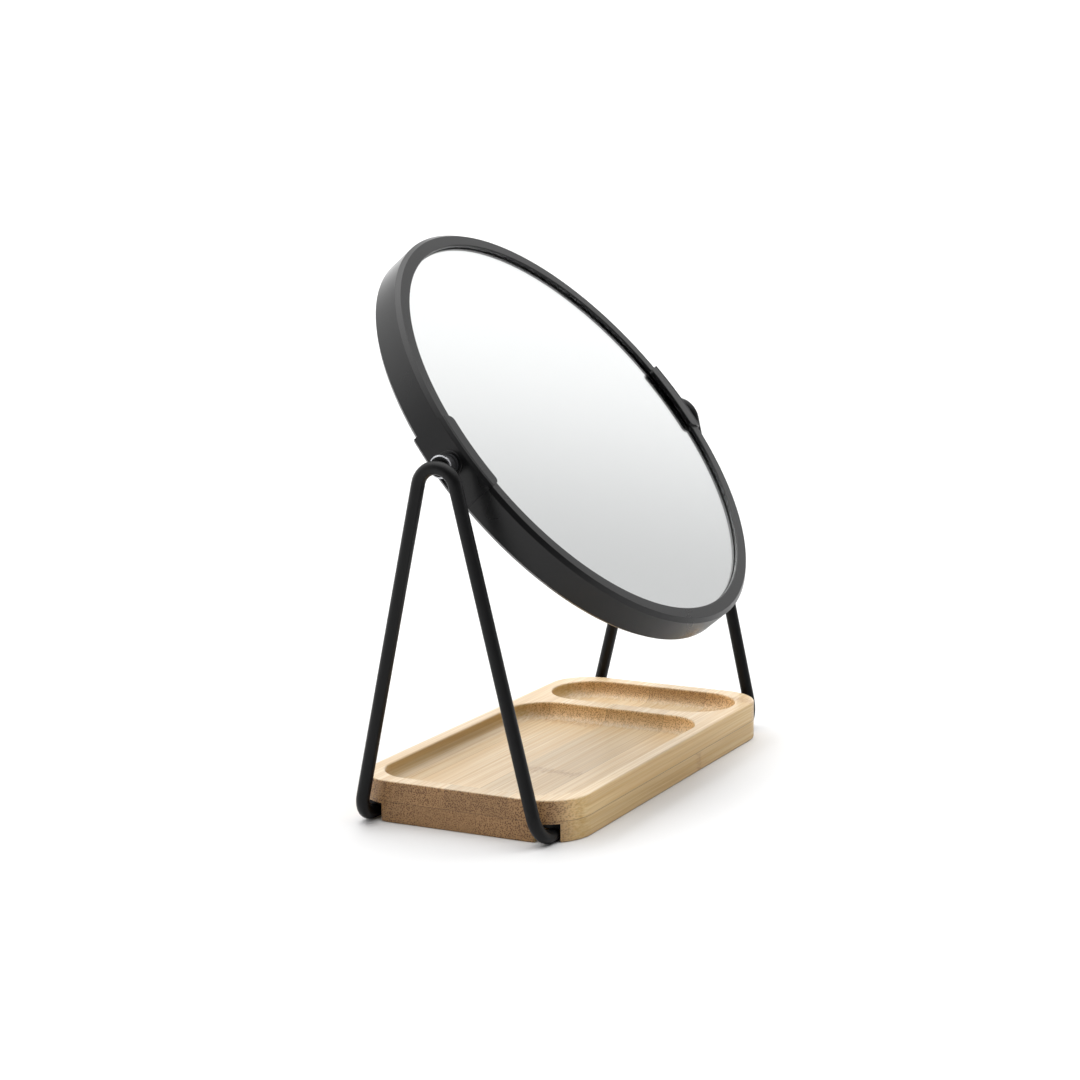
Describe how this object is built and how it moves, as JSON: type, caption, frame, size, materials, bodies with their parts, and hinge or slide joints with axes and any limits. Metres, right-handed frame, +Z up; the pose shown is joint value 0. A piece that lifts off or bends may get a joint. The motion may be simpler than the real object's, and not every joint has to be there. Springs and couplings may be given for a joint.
{
  "type": "countertop mirror",
  "caption": "Round double-sided mirror that swivels between two black wire A-frames standing at the ends of a bamboo tray with a wide recess and a round-ended trough.",
  "frame": {"origin": "on the surface the tray stands on, below the middle of the mirror", "axes": "+X along the swivel axis, towards the end of the tray with the trough; +Y from the front of the mirror to the back; +Z up"},
  "size_m": [0.2096, 0.1264, 0.2087],
  "materials": {
    "bamboo": "satin lacquer",
    "black_rod": "satin black powder coat",
    "black_hoop": "satin black paint on sheet steel",
    "black_nylon": "moulded nylon",
    "zinc": "bright zinc plate",
    "mirror_glass": "back-silvered float glass",
    "grey_foam": "closed-cell foam"
  },
  "bodies": {
    "stand": {"tray_top_board": "bamboo", "tray_bottom_board": "bamboo", "left_stand_rod": "black_rod", "right_stand_rod": "black_rod", "foot_screw_plates": "black_rod", "foot_screws": "zinc", "left_pivot_stud": "black_rod", "right_pivot_stud": "black_rod", "left_zinc_washer": "zinc", "right_zinc_washer": "zinc", "left_spacer_sleeve": "black_nylon", "right_spacer_sleeve": "black_nylon", "left_lock_nut": "zinc", "right_lock_nut": "zinc"},
    "mirror": {"ring_upper_half": "black_hoop", "ring_lower_half": "black_hoop", "left_ring_bracket": "black_hoop", "right_ring_bracket": "black_hoop", "left_pivot_bush": "black_nylon", "right_pivot_bush": "black_nylon", "front_mirror_glass": "mirror_glass", "rear_magnifying_glass": "mirror_glass", "foam_spacer_ring": "grey_foam"}
  },
  "joints": [
    {"name": "mirror_tilt", "type": "hinge", "parent": "stand", "child": "mirror", "pos_m": [0, 0, 0.1343], "axis": [1, 0, 0], "continuous": true}
  ]
}
